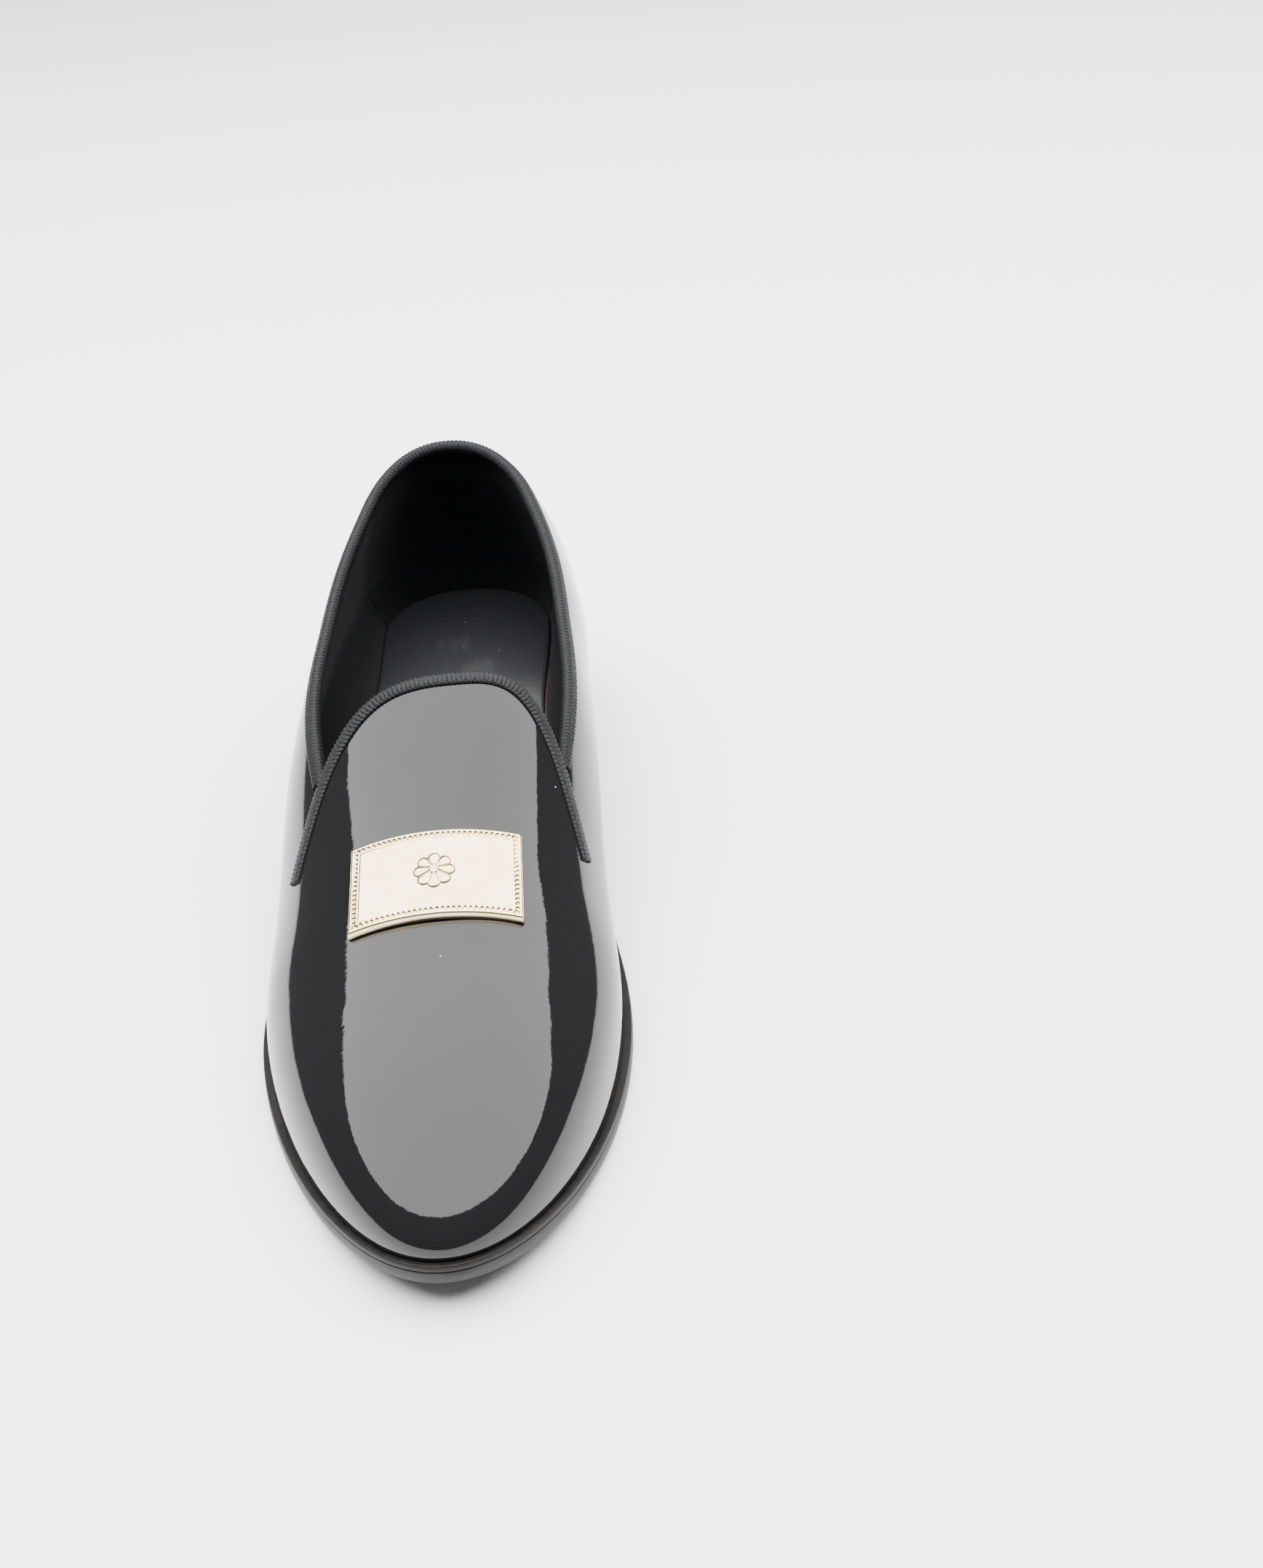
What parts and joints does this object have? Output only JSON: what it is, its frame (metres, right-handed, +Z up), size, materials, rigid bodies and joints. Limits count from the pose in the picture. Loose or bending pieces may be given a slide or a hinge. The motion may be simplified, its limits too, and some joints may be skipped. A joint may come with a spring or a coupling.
{
  "type": "slip-on dress shoe",
  "caption": "Right men's slip-on evening shoe in black patent leather, with grosgrain binding, a gilt vamp plate and a smooth leather sole.",
  "frame": {"origin": "on the floor under the middle of the shoe's bounding box", "axes": "+X towards the inner (medial) side of the right foot, +Y towards the heel, +Z up; the toe points to -Y"},
  "size_m": [0.101, 0.304, 0.091],
  "materials": {
    "patent_leather": "black patent, mirror gloss",
    "grosgrain_ribbon": "ribbed black silk ribbon",
    "elastic_web": "black woven elastic",
    "lining_leather": "matte black lining leather",
    "lining_suede": "black suede",
    "stiffener_board": "resin-stiffened cloth",
    "fibreboard": "pressed fibre insole board",
    "shank_steel": "tempered steel",
    "cork": "granulated cork",
    "sole_edge_leather": "black waxed edge",
    "sole_leather": "black painted, semi-gloss",
    "latex_foam": "open-cell latex foam",
    "sock_leather": "smooth black calf",
    "heel_leather": "stacked, dyed and brushed",
    "heel_rubber": "matte black rubber",
    "top_piece_leather": "black dyed sole leather",
    "brass_nail": "plain brass",
    "gilt_plate": "polished pale gold plating"
  },
  "bodies": {
    "root": {"wholecut_upper": "patent_leather", "back_strip": "patent_leather", "topline_binding": "grosgrain_ribbon", "vamp_binding": "grosgrain_ribbon", "elastic_gore_medial": "elastic_web", "elastic_gore_lateral": "elastic_web", "vamp_lining": "lining_leather", "quarter_lining_medial": "lining_suede", "quarter_lining_lateral": "lining_suede", "heel_grip": "lining_suede", "heel_counter": "stiffener_board", "toe_puff": "stiffener_board", "insole_board": "fibreboard", "shank": "shank_steel", "shank_rivet_rear": "shank_steel", "shank_rivet_front": "shank_steel", "cork_filler": "cork", "midsole": "sole_edge_leather", "outsole": "sole_leather", "heel_pad": "latex_foam", "sock_lining": "sock_leather", "heel_lift_1": "heel_leather", "heel_lift_2": "heel_leather", "heel_lift_3": "heel_leather", "top_piece_rubber": "heel_rubber", "top_piece_leather": "top_piece_leather", "heel_nail_1": "brass_nail", "heel_nail_2": "brass_nail", "heel_nail_3": "brass_nail", "heel_nail_4": "brass_nail", "heel_nail_5": "brass_nail", "ornament_plate": "gilt_plate", "ornament_rosette": "gilt_plate", "ornament_stud_medial": "brass_nail", "ornament_stud_lateral": "brass_nail", "ornament_backing": "brass_nail"}
  },
  "joints": []
}
